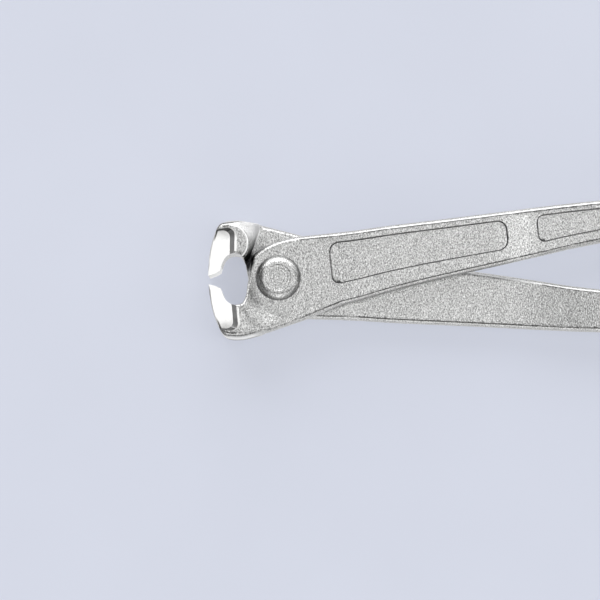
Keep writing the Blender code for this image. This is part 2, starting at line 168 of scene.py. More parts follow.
# Finishes
GRAIN_STRETCH = (1.35, 0.72, 1.0)  # the grain lies a little across the tool
GRAIN_DARK = 0.28  # tone of the grain's valleys, as a share of the plating's
SLANT, SLANT_STRETCH = math.radians(50), (1.0, 5.0, 1.0)  # turn and length of the tumbling marks
# Painted shade in corners, from ambient occlusion put into the colour: reach, and the shares of open
# sky at which the painted shade is full and gone
PAINTED_CREVICE_SHADE, RECESS_PAINTED_SHADE, PAINTED_GROUND_SHADE = (0.7 * MM, 0.45, 0.85), (8.0 * MM, 0.05, 0.5), (1.2 * MM, 0.45, 0.85)
HOLLOW_SHADE, FOOT_SHADE = 0.77, 0.08  # painted shade: shares of the hollow's colour on its wall and at its foot
RIVET_SHADE = 1.05  # the rivet's brightness beside the levers'
DULLED = 0.9  # how far the painted highlights and the painted light on the wall's sloping face lose their metal look
PAINTED_CORNER_LINE = (0.932, -0.364, 26.84)  # line in mm across the flank's outer corner, past which the flat gets black painted shade: X, |Y|, offset

# Light: level of the room; compass angle, lean from the vertical, radius, soft rim and level
ROOM = 0.12
CARDS = ((95, 65, 30, 6, 3.3), (270, 66, 26, 8, 1.5), (-15, 53, 12, 5, 2.6), (40, 36, 10, 14, 0.3),
         (42, 54, 9, 10, 0.5), (40, 88, 16, 8, 2.3), (0, 90, 50, 20, 0.12), (180, 16, 12, 8, 1.2))
OVERHEAD = (0, 14, 12, 3.1)  # compass angle, lean, radius and level of the lamp
BENCH_SIZE, BENCH_GLOW = 4.0, 0.7  # side of the bench, and how much of its own light is seen
BENCH_IN_METAL = (0.98, 0.985, 1.0)  # the bright bench as the metal mirrors it

# Camera: its place over the tool, what it looks at, and the size of a pixel there
CAMERA_DISTANCE, CAMERA_LEAN, CAMERA_TURN = 1.0, math.radians(2.6), math.radians(-2.2)
AIM = Vector((7.51 * MM, -8.33 * MM, MIDDLE + ARM_FACE))
SENSOR, IMAGE, PIXEL = 36.0, 600, 0.362 * MM
SIGHT_END = 20.0  # how far the camera sees


class PliersSizes(PropertyGroup):
    stock: FloatProperty(
        name="Grinding stock", default=0.7 * MM, unit="LENGTH",
        description="Metal left on the forged nose, which grinding then takes off")
    voxel: FloatProperty(
        name="Forging resolution", default=0.45 * MM, unit="LENGTH",
        description="Size of the cells in which the forged skin is remade")
    softness: IntProperty(
        name="Forging softness", default=5, min=0,
        description="Smoothing passes that round the forged edges")
    flank: FloatProperty(
        name="Ground flank", default=10.3 * MM, unit="LENGTH",
        description="Height of the ground flank above the lap plane")
    hollow: FloatProperty(
        name="Wheel hollow", default=1.7 * MM, unit="LENGTH",
        description="Width of the hollow that the wheel leaves behind the flank")
    panel_depth: FloatProperty(
        name="Panel depth", default=0.7 * MM, unit="LENGTH",
        description="Depth of the sunk panels in the handles")
    panel_wall: FloatProperty(
        name="Panel wall", default=0.24 * MM, unit="LENGTH",
        description="Width of the sloping wall round a panel")
    rivet_flat: FloatProperty(
        name="Rivet flat", default=5.4 * MM, unit="LENGTH",
        description="Radius of the flat on the rivet head")
    rivet_height: FloatProperty(
        name="Rivet head height", default=3.0 * MM, unit="LENGTH",
        description="Height of the rivet head above the boss")


class PliersFinish(PropertyGroup):
    plating: FloatVectorProperty(
        name="Zinc plating", subtype="COLOR", default=(0.735, 0.737, 0.731), min=0, max=1,
        description="Colour of the plated forging")
    ground: FloatVectorProperty(
        name="Ground steel", subtype="COLOR", default=(0.88, 0.878, 0.866), min=0, max=1,
        description="Colour of the ground flanks and cutting edges")
    # The hollow's wall and foot take shares of this colour as painted shade.
    hollow_tone: FloatVectorProperty(
        name="Wheel hollow", subtype="COLOR", default=(0.80, 0.80, 0.80), min=0, max=1,
        description="Colour of the hollow that the wheel leaves")
    # Painted shade: the colour that hemmed-in corners are turned towards.
    painted_corner_shade: FloatVectorProperty(
        name="Crevices", subtype="COLOR", default=(0.10, 0.10, 0.105), min=0, max=1,
        description="Colour of the plating deep in corners")
    grain: FloatProperty(
        name="Grain size", default=0.45 * MM, unit="LENGTH",
        description="Size of the grain of the forged skin")
    relief: FloatProperty(
        name="Grain relief", default=0.12 * MM, unit="LENGTH", description="Depth of that grain")
    bench: FloatVectorProperty(
        name="Bench", subtype="COLOR", default=(0.651, 0.680, 0.776), min=0, max=1,
        description="Colour of the bench and the backdrop")


def smooth(low, high, value):
    """0 below low, 1 above high and an S-curve between them."""
    t = min(max((value - low) / (high - low), 0.0), 1.0)
    return t * t * (3.0 - 2.0 * t)


def mix(a, b, t):
    """The value at share t of the way from a to b."""
    return a + (b - a) * t


def through(points, steps):
    """Points of a smooth curve through the given ones."""
    ends = [points[0] * 2 - points[1]] + list(points) + [points[-1] * 2 - points[-2]]
    curve = []
    for a, b, c, d in zip(ends, ends[1:], ends[2:], ends[3:]):
        for step in range(steps):
            t = step / steps
            curve.append(0.5 * ((2 * b) + (c - a) * t + (2 * a - 5 * b + 4 * c - d) * t * t
                                + (3 * b - a - 3 * c + d) * t * t * t))
    return curve + [points[-1]]


def face_height(x, y):
    """Outer face above the lap plane: cheek, slope to the boss, handle, bend to the middle."""
    raised = 1.0 - smooth(CHEEK_END, NECK_END, x)
    raised *= smooth(BOSS_RADIUS, BOSS_RADIUS + BOSS_BLEND, math.hypot(x / BOSS_SHARE, y))
    arm = mix(BOSS_FACE, ARM_FACE, smooth(BOSS_RADIUS, LAP_END, x))
    return mix(arm, CHEEK, raised) + (GRIP_HALF - ARM_FACE) * smooth(FACE_FALL, FACE_GRIP, x)


def lap_height(x, y):
    """Inner face of the lever above the lap plane."""
    arm = mix(LAP_GAP / 2 - SKIM, ARM_LAP, smooth(LAP_LAND, LAP_END, x))
    return mix(arm, -GRIP_HALF, smooth(LAP_FALL, LAP_GRIP, x))


def jaw_height(x, y):
    """Inner face where the jaw spans both layers."""
    return -CHEEK


def outline():
    """Bite or outer side point, inner side point and inner face, from the cutting edge to the end."""
    tip = (Vector((-TIP_REACH + EDGE_LAND, -EDGE_GAP / 2)), Vector((-TIP_REACH, -EDGE_GAP / 2)))
    size = Vector((TIP_REACH, JAW_DEPTH))
    rows = [tuple(Vector(p) * size for p in row) for row in JAW_SHARES + NECK_SHARES]
    for along, inner, outer in HANDLE_SHARES:
        x = along * HANDLE_REACH
        rows.append((Vector((x, outer * HANDLE_SPREAD)), Vector((x, inner * HANDLE_SPREAD))))
    upper = through([row[0] for row in rows[1:]], SPANS)
    lower = through([row[1] for row in rows[1:]], SPANS)
    pairs = list(zip(upper, lower))
    step = SPANS * (len(JAW_SHARES) - 2)
    line = [(up, low, jaw_height) for up, low in [tip, rows[0]] + pairs[:step + 1]]
    line.append((*[mix(a, b, STEP_SHARE) for a, b in zip(pairs[step], pairs[step + 1])], lap_height))
    line += [(up, low, lap_height) for up, low in pairs[step + 1:]]
    (far_up, far_low, _), (near_up, near_low, _) = line[-1], line[-3]
    middle, half = (far_up + far_low) / 2, (far_up - far_low) / 2
    ahead = (middle - (near_up + near_low) / 2).normalized()
    start = middle + ahead * (HANDLE_REACH - END_ROUND - middle.x) / ahead.x
    gap = start - middle
    for share in END_STEPS:
        line.append((middle + gap * share + half, middle + gap * share - half, lap_height))
    for turn in END_TURNS:
        angle = math.radians(turn)
        centre = start + ahead * END_ROUND * math.sin(angle)
        line.append((centre + half * math.cos(angle), centre - half * math.cos(angle), lap_height))
    return line


def slimmed(x):
    """Share of the thickness that is left where the handle end rounds off."""
    reach = max(x - HANDLE_REACH + END_ROUND, 0.0) / END_ROUND
    return mix(END_THICKNESS, 1.0, math.sqrt(max(1.0 - reach * reach, 0.0)))


def section(upper, lower, lap):
    """Closed section between two plan points: rounded edges, sides drafted from half-way up."""
    across = lower - upper
    width = across.length
    inward = across / width
    along = (upper.x + lower.x) / 2
    slim = slimmed(along)
    bite = mix(BITE_EDGE, ARM_EDGE, smooth(*BITE_RISE, upper.y))
    jaw = mix(JAW_EDGE, ARM_EDGE, smooth(CHEEK_END, 0.0, along))
    hand = smooth(ROUND_START, ROUND_END, along)
    edges = [min(mix(near, GRIP_EDGE, hand), width * EDGE_LIMIT) for near in (bite, jaw)]
    middle = upper + across / 2
    tall = (face_height(middle.x, middle.y) - lap(middle.x, middle.y)) / 2 * slim
    drawn = min(DRAFT * tall, width * DRAFT_LIMIT)
    first = drawn * smooth(*BITE_DRAFT, upper.x)
    last = drawn * smooth(*NOSE_DRAFT, lower.x)
    begin, end = upper + inward * (edges[0] + first), lower - inward * (edges[1] + last)
    spots = [begin + (end - begin) * k / ACROSS for k in range(ACROSS + 1)]
    turns = [math.radians(a) for a in range(0, 91, 15)]
    ring = []
    for side, height, order, wall in ((1, face_height, spots, upper), (-1, lap, spots[::-1], lower)):
        ring.append((*wall, (face_height(*wall) + lap(*wall)) / 2 * slim))
        for place, spot in enumerate(order):
            z = height(spot.x, spot.y) * slim
            if 0 < place < len(order) - 1:
                ring.append((spot.x, spot.y, z))
                continue
            out, edge = (-inward, edges[0]) if spot is spots[0] else (inward, edges[1])
            for a in (turns if place == 0 else turns[::-1]):
                at = spot + out * edge * math.cos(a)
                ring.append((at.x, at.y, z - side * edge * (1 - math.sin(a))))
    return ring


def with_stock(line, stock):
    """The plan before grinding, with metal left on the nose and above the cutting edge."""
    foot_low, foot_high = (share * JAW_DEPTH for share in STOCK_FOOT)
    bite_low, bite_high = (share * JAW_DEPTH for share in STOCK_BITE)
    proud = []
    for up, low, lap in line:
        nose = smooth(foot_low, foot_high, low.y) if low.x < CHEEK_END else 0.0
        bite = smooth(bite_low, bite_high, up.y) if up.x < STOCK_TIP * TIP_REACH else 0.0
        up = up + STOCK_RISE * stock * bite
        proud.append((up, low + Vector((-1.0, 0.0)) * stock * nose, lap))
    (up, low, lap), rest = proud[0], proud[1:]
    rise = Vector((0.0, stock))
    return [(up + rise, low + rise, lap)] + rest


def fresh():
    """Object mode, with nothing selected."""
    if bpy.context.object and bpy.context.object.mode != "OBJECT":
        bpy.ops.object.mode_set(mode="OBJECT")
    bpy.ops.object.select_all(action="DESELECT")


def take(piece):
    """Selects one piece and nothing else."""
    fresh()
    piece.select_set(True)
    bpy.context.view_layer.objects.active = piece


def added(name, material=None):
    """The primitive just added, under its own name and with its place in its mesh."""
    piece = bpy.context.object
    piece.name = piece.data.name = name
    bpy.ops.object.transform_apply(location=True, rotation=True, scale=True)
    if material:
        piece.data.materials.append(material)
    return piece


def edit_all():
    """Edit mode, with all points selected."""
    bpy.ops.object.mode_set(mode="EDIT")
    bpy.ops.mesh.select_mode(type="VERT")
    bpy.ops.mesh.select_all(action="SELECT")


def skin(name, sections, material=None):
    """A grid wrapped round the sections, one row for each, with its seam merged and its ends filled."""
    rows, ring = len(sections), len(sections[0])
    fresh()
    bpy.ops.mesh.primitive_grid_add(x_subdivisions=ring, y_subdivisions=rows - 1, size=1.0)
    piece = added(name, material)
    corners = len(piece.data.vertices)
    if corners != rows * (ring + 1):
        raise RuntimeError(f"{name}: the grid has {corners} corners, not {rows * (ring + 1)}")
    for vertex in piece.data.vertices:
        column = round((vertex.co.x + 0.5) * ring) % ring
        vertex.co = sections[round((vertex.co.y + 0.5) * (rows - 1))][column]
    edit_all()
    bpy.ops.mesh.remove_doubles(threshold=MERGE)
    bpy.ops.mesh.fill_holes(sides=0)
    bpy.ops.mesh.select_all(action="SELECT")
    bpy.ops.mesh.normals_make_consistent(inside=False)
    bpy.ops.object.mode_set(mode="OBJECT")
    return piece


def modify(piece, kind, **settings):
    """Adds one modifier to the piece, sets it and applies it."""
    take(piece)
    bpy.ops.object.modifier_add(type=kind)
    modifier = piece.modifiers[-1]
    for name, value in settings.items():
        setattr(modifier, name, value)
    bpy.ops.object.modifier_apply(modifier=modifier.name)


def cut(piece, cutter):
    """Takes the cutter out of the piece; the cut faces keep the cutter's material."""
    modify(piece, "BOOLEAN", operation="DIFFERENCE", solver="EXACT", material_mode="TRANSFER",
           object=cutter)
    bpy.data.objects.remove(cutter)


def step_cutter(name):
    """All below the lap plane, up to the drafted step wall with a fillet at its foot."""
    foot = through([Vector(p) * MM for p in STEP_FOOT[1:]], SPANS)
    head = through([Vector(p) * MM for p in STEP_HEAD[1:]], SPANS)
    start, end = STEP_FOOT[0][1] * MM, STEP_FOOT[-1][1] * MM
    far = LAP_END + MARGIN
    lap, rise = LAP_GAP / 2, CHEEK + LAP_GAP / 2
    levels = [(STEP_FILLET * (1 - math.sin(a)), STEP_FILLET * (1 - math.cos(a)), 0.0)
              for a in [math.pi / 2 * k / FILLET_STEPS for k in range(FILLET_STEPS + 1)]]
    levels.append((0.0, rise - STEP_SLOPE, STEP_LEAN))
    levels.append((0.0, rise + MARGIN, 1.0 + (1.0 - STEP_LEAN) * MARGIN / STEP_SLOPE))
    sections = []
    for back, down, share in levels:
        wall = [a + (b - a) * share + Vector((back, 0.0)) for a, b in zip(foot, head)]
        corners = [Vector((wall[0].x, start))] + wall + [Vector((far, end)), Vector((far, start))]
        sections.append([(p.x, p.y, lap - down) for p in corners])
    return skin(name, sections)


def flank_cutter(name, side, sizes, finishes):
    """The wheel's cut beside the cutting edge: a flat, a hollow run-out round it and a skimmed lip."""
    rise = CHEEK - LIP_SKIM - sizes.flank
    levels = []
    for t in [k / HOLLOW_STEPS for k in range(HOLLOW_STEPS + 1)]:
        levels.append((sizes.hollow * t, FOOT_RUN * t,
                       rise * ((1 - HOLLOW_CURVE) * t + HOLLOW_CURVE * t * t)))
    levels.append((sizes.hollow + LIP, FOOT_RUN + FOOT_LIP, rise))
    levels.append((sizes.hollow + LIP + MARGIN, FOOT_RUN + FOOT_LIP + MARGIN, rise + MARGIN))
    sections = []
    for back, down, up in levels:
        edge, foot = FLANK_EDGE + back, FLANK_FOOT - down
        corners = [(-TIP_REACH - MARGIN, MARGIN), (edge, MARGIN)]
        for k in range(CORNER_STEPS + 1):
            turn = math.pi / 2 * k / CORNER_STEPS
            corners.append((edge - FLANK_CORNER * (1 - math.cos(turn)),
                            foot + FLANK_CORNER * (1 - math.sin(turn))))
        corners.append((-TIP_REACH - MARGIN, foot + FLANK_CORNER / 2))
        sections.append([(x, y, side * (sizes.flank + up)) for x, y in corners])
    cutter = skin(name, sections, finishes["ground"])
    cutter.data.materials.append(finishes["hollow"])
    cutter.data.materials.append(finishes["foot"])
    # Painted shade: steep faces take the hollow's darkened copy of the ground finish, and those facing
    # across the tool the near-black copy for the foot.
    for face in cutter.data.polygons:
        if abs(face.normal.z) < FLAT:
            face.material_index = 2 if abs(face.normal.y) > abs(face.normal.x) * FOOT_TURN else 1
    return cutter


def broken(spot, depth):
    """Place along the tool of a point of the nose, moved inwards where its edge is broken."""
    return spot.x + depth * smooth(*BREAK_LOW, spot.y) * (1.0 - smooth(*BREAK_HIGH, spot.y))


def nose_cutter(name, line, flank, material):
    """What grinding takes off in front of the nose, above the land and off the bevel."""
    nose = [row[1] for row in line[:2 + SPANS * (NOSE_ROWS - 2)]]
    bevel = [row[0] for row in line[:2 + SPANS * (BEVEL_ROWS - 1)]]
    out = (nose[-1] - nose[-2]).normalized()
    front, over = -TIP_REACH * NOSE_CLEAR, MARGIN * 2
    before = [Vector((-TIP_REACH * BEVEL_END, over))] + bevel[::-1]
    after = [nose[-1] + out * over, Vector((front, nose[-1].y - over)), Vector((front, over))]
    full = NOSE_BREAK * BREAK_DEPTH
    upper = [(flank - NOSE_BREAK, 0.0), (flank + NOSE_BREAK / 2, full), (CHEEK + MARGIN, full)]
    sections = []
    for z, depth in [(-z, depth) for z, depth in upper[::-1]] + upper:
        places = [p.x for p in before] + [broken(p, depth) for p in nose] + [p.x for p in after]
        sections.append([(x, p.y, z) for x, p in zip(places, before + nose + after)])
    return skin(name, sections, material)


def edges_at(x, line):
    """Outer and inner edge of the handle at a place along it."""
    found = []
    for side in (0, 1):
        edge = [row[side] for row in line if row[side].x > RIVET_SHANK]
        a, b = next((a, b) for a, b in zip(edge, edge[1:]) if a.x <= x <= b.x)
        found.append(mix(a.y, b.y, (x - a.x) / (b.x - a.x)))
    return found


def rim(widths, x):
    """Width of the rim beside the panels at a place along the handle."""
    near = min(max((x - RIM_START) / (RIM_MIDDLE - RIM_START), 0.0), 1.0)
    far = min(max((x - RIM_MIDDLE) / (RIM_END - RIM_MIDDLE), 0.0), 1.0)
    return mix(widths[0], widths[1], near) + (widths[2] - widths[1]) * far


def panel_row(start, end, corner, inset, line):
    """Places along a panel with its outer and inner edge there; inset moves the outline inwards."""
    start, end, corner = start + inset, end - inset, corner - inset
    near = [corner * (1 - math.cos(math.pi / 2 * k / CORNER_STEPS)) for k in range(CORNER_STEPS + 1)]
    span = end - start - 2 * corner
    places = [start + d for d in near]
    places += [start + corner + span * k / PANEL_STEPS for k in range(1, PANEL_STEPS)]
    places += [end - d for d in near[::-1]]
    row = []
    for x in places:
        left = corner - min(x - start, end - x, corner)
        turned = corner - math.sqrt(max(corner * corner - left * left, 0.0))
        outer, inside = edges_at(x, line)
        row.append((x, outer - rim(RIM_OUTER, x) - inset - turned,
                    inside + rim(RIM_INNER, x) + inset + turned))
    return row


def panel_cutter(name, start, end, corner, line, sizes):
    """One sunk panel: rounded corners, steep soft-footed walls, floor parallel to the face."""
    depth = sizes.panel_depth
    profile = [(sizes.panel_wall * inset, depth * up) for inset, up in PANEL_PROFILE]
    rows = [panel_row(start, end, corner, inset, line) for inset, _ in profile]
    sections = []
    for along in zip(*rows):
        outer, inner = [], []
        for (x, top, low), (_, up) in zip(along, profile):
            z = face_height(x, top) - depth + up
            outer.append((x, top, z))
            inner.append((x, low, z))
        x, top, low = along[0]
        floor = [(x, mix(top, low, k / FLOOR_STEPS), face_height(x, top) - depth)
                 for k in range(1, FLOOR_STEPS)]
        sections.append(outer[::-1] + floor + inner)
    return skin(name, sections)


def place(piece, front):
    """Turns the closed drawing of a lever into its place in the tool, in its mesh."""
    turn = Euler((0.0, 0.0, OPENED)) if front else Euler((math.pi, 0.0, -OPENED))
    piece.data.transform(Matrix.Translation((0.0, 0.0, MIDDLE)) @ turn.to_matrix().to_4x4())
    piece.data.update()


def soften(piece, angle=30):
    """Shades the piece smooth, except along edges sharper than the angle."""
    take(piece)
    bpy.ops.object.shade_smooth_by_angle(angle=math.radians(angle))


def forge_lever(sizes, finishes):
    """One lever, closed: forged with soft edges, then bored, ground and pressed."""
    line = outline()
    lever = skin("front_lever_dressed", [section(*row) for row in with_stock(line, sizes.stock)],
                 finishes["forging"])
    cut(lever, step_cutter("step_cut"))
    modify(lever, "REMESH", mode="VOXEL", voxel_size=sizes.voxel)
    modify(lever, "SMOOTH", factor=0.5, iterations=sizes.softness)
    cut(lever, nose_cutter("nose_cut", line, sizes.flank, finishes["ground"]))
    for side, name in ((1, "front_flank_cut"), (-1, "rear_flank_cut")):
        cut(lever, flank_cutter(name, side, sizes, finishes))
    for letter, (start, end, corner) in zip("ab", PANELS):
        cut(lever, panel_cutter("panel_cut_" + letter, start, end, corner, line, sizes))
    fresh()
    bpy.ops.mesh.primitive_cylinder_add(vertices=BORE_SIDES, radius=RIVET_SHANK + FIT,
                                        depth=2 * (CHEEK + MARGIN))
    cut(lever, added("bore_cut", finishes["ground"]))
    return lever


class PLIERS_OT_levers(Operator):
    """Forge both levers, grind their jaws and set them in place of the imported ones"""
    bl_idname = "pliers.levers"
    bl_label = "Levers"

    def execute(self, context):
        sizes = context.scene.pliers_sizes
        finishes = lever_finishes(context.scene.pliers_finish)
        front = forge_lever(sizes, finishes)
        take(front)
        bpy.ops.object.duplicate(linked=False)
        rear = context.object
        rear.name = rear.data.name = "rear_lever_dressed"
        for lever, node, body in ((front, "front_lever", "front_half"),
                                  (rear, "rear_lever", "rear_half")):
            place(lever, lever is front)
            soften(lever)
            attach(lever, body)
            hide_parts(node)
        return {"FINISHED"}


def rivet_profile(sizes):
    """Radius and height of the rivet's outline, from the lap plane to the middle of a flat."""
    top = (RIVET_HIGH.z - RIVET_LOW.z) / 2
    head, flat, height = HEAD_RADIUS, sizes.rivet_flat, sizes.rivet_height
    seat = top - height
    low, high = SHOULDER_SLOPES
    wide, tall = math.sin(low) - math.sin(high), math.cos(high) - math.cos(low)
    outer, inner, lift = RIM_BREAK
    half = [(RIVET_SHANK, seat), (head - outer, seat), (head - inner, seat + lift)]
    for a in [mix(low, high, k / SHOULDER_STEPS) for k in range(SHOULDER_STEPS + 1)]:
        rise = mix(SHOULDER_FOOT, 1.0, (math.cos(a) - math.cos(low)) / tall)
        half.append((mix(flat, head, (math.sin(a) - math.sin(high)) / wide), seat + height * rise))
    (start, end), (shallow, deep) = DISH, DISH_DEPTHS
    return half + [(flat - start, top), (flat - end, top - shallow), (flat * 0.5, top - deep),
                   (0.0, top - deep)]


class PLIERS_OT_rivet(Operator):
    """Turn the solid rivet with its two flat-topped heads"""
    bl_idname = "pliers.rivet"
    bl_label = "Rivet"

    def execute(self, context):
        half = rivet_profile(context.scene.pliers_sizes)
        profile = [Vector((x, 0.0, MIDDLE - z)) for x, z in half[::-1]]
        profile += [Vector((x, 0.0, MIDDLE + z)) for x, z in half]
        fresh()
        bpy.ops.mesh.primitive_plane_add(size=HEAD_RADIUS, location=profile[0])
        rivet = added("joint_rivet_dressed", rivet_finish(context.scene.pliers_finish))
        edit_all()
        bpy.ops.mesh.merge(type="CENTER")
        for a, b in zip(profile, profile[1:]):
            bpy.ops.mesh.extrude_region_move(TRANSFORM_OT_translate={"value": b - a})
        bpy.ops.mesh.select_all(action="SELECT")
        bpy.ops.mesh.spin(steps=RIVET_SIDES, angle=2 * math.pi, center=(0.0, 0.0, 0.0),
                          axis=(0.0, 0.0, 1.0))
        bpy.ops.mesh.select_all(action="SELECT")
        bpy.ops.mesh.remove_doubles(threshold=RIVET_MERGE)
        bpy.ops.mesh.normals_make_consistent(inside=False)
        bpy.ops.object.mode_set(mode="OBJECT")
        soften(rivet, 40)
        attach(rivet, "rear_half")
        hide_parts("joint_rivet")
        return {"FINISHED"}


class Nodes:
    """The node tree of a material or world, filled node by node."""

    def __init__(self, owner):
        owner.use_nodes = True
        self.owner, self.tree = owner, owner.node_tree
        self.shader = self.tree.nodes.get("Principled BSDF")

    def add(self, kind, inputs=(), **settings):
        node = self.tree.nodes.new(kind)
        for name, value in settings.items():
            setattr(node, name, value)
        for name, value in dict(inputs).items():
            self.feed(node.inputs[name], value)
        return node

    def feed(self, socket, value):
        """Joins the socket to another one, or sets its value."""
        if isinstance(value, bpy.types.NodeSocket):
            self.tree.links.new(value, socket)
        else:
            socket.default_value = value

    def link(self, source, name):
        self.tree.links.new(source, self.shader.inputs[name])

    def math(self, operation, a, b=0.0):
        node = self.add("ShaderNodeMath", operation=operation)
        for socket, value in zip(node.inputs, (a, b)):
            self.feed(socket, value)
        return node.outputs[0]

    def times(self, *factors):
        """All the factors, multiplied."""
        value = factors[0]
        for factor in factors[1:]:
            value = self.math("MULTIPLY", value, factor)
        return value

    def plus(self, a, b):
        return self.math("ADD", a, b)

    def minus(self, a, b):
        return self.math("SUBTRACT", a, b)

    def size(self, value):
        """The value without its sign."""
        return self.math("ABSOLUTE", value)

    def above(self, value, limit):
        return self.math("GREATER_THAN", value, limit)

    def below(self, value, limit):
        return self.math("LESS_THAN", value, limit)

    def off(self, value, middle):
        """How far the value is from the middle."""
        return self.size(self.minus(value, middle))

    def square(self, value, middle, reach):
        """Square of the distance from the middle, in reaches."""
        away_by = self.times(self.minus(value, middle), 1 / reach)
        return self.times(away_by, away_by)

    def ramp(self, value, *stops):
        node = self.add("ShaderNodeValToRGB", {"Fac": value})
        ramp = node.color_ramp
        while len(ramp.elements) < len(stops):
            ramp.elements.new(0.5)
        for element, (at, level) in zip(ramp.elements, stops):
            element.position = at
            element.color = (level, level, level, 1.0)
        return node.outputs["Color"]

    def between(self, value, places, levels, span):
        """A ramp through the levels at the places; span is the distance that it reads as 1."""
        shares = [place / span for place in places]
        return self.ramp(value if span == 1.0 else self.times(value, 1 / span), *zip(shares, levels))

    def rise(self, value, low, high, span=1.0):
        """0 below low and 1 above high."""
        return self.between(value, (low, high), (0.0, 1.0), span)

    def fall(self, value, low, high, span=1.0):
        """1 below low and 0 above high."""
        return self.between(value, (low, high), (1.0, 0.0), span)

    def band(self, value, *edges, span=1.0):
        """1 between the two middle edges and 0 outside the outer two."""
        return self.between(value, edges, (0.0, 1.0, 1.0, 0.0), span)

    def places(self):
        return self.add("ShaderNodeTexCoord").outputs

    def stretched(self, where, scale, turn=0.0):
        inputs = {"Vector": where, "Scale": scale, "Rotation": (0.0, 0.0, turn)}
        return self.add("ShaderNodeMapping", inputs).outputs["Vector"]

    def noise(self, where, size, detail=2.0, roughness=0.5):
        return self.add("ShaderNodeTexNoise", {"Vector": where, "Scale": 1 / size, "Detail": detail,
                                               "Roughness": roughness}).outputs["Fac"]

    def blend(self, kind, share, a, b):
        node = self.add("ShaderNodeMix", data_type="RGBA", blend_type=kind)
        for index, value in ((0, share), (6, a), (7, b)):
            self.feed(node.inputs[index], (*value, 1.0) if isinstance(value, tuple) else value)
        return node.outputs[2]

    def darkened(self, colour, finish, reach, low, high):
        """Painted shade: the colour turned towards a dark colour where the surface is hemmed in."""
        open_sky = self.add("ShaderNodeAmbientOcclusion", {"Distance": reach}, samples=8).outputs["AO"]
        return self.blend("MIX", self.fall(open_sky, low, high), colour, tuple(finish.painted_corner_shade))

    def axis(self, vector, name):
        return self.add("ShaderNodeSeparateXYZ", {0: vector}).outputs[name]

    def bump(self, height, distance, strength=1.0, normal=None):
        inputs = {"Height": height, "Distance": distance, "Strength": strength}
        if normal:
            inputs["Normal"] = normal
        return self.add("ShaderNodeBump", inputs).outputs["Normal"]


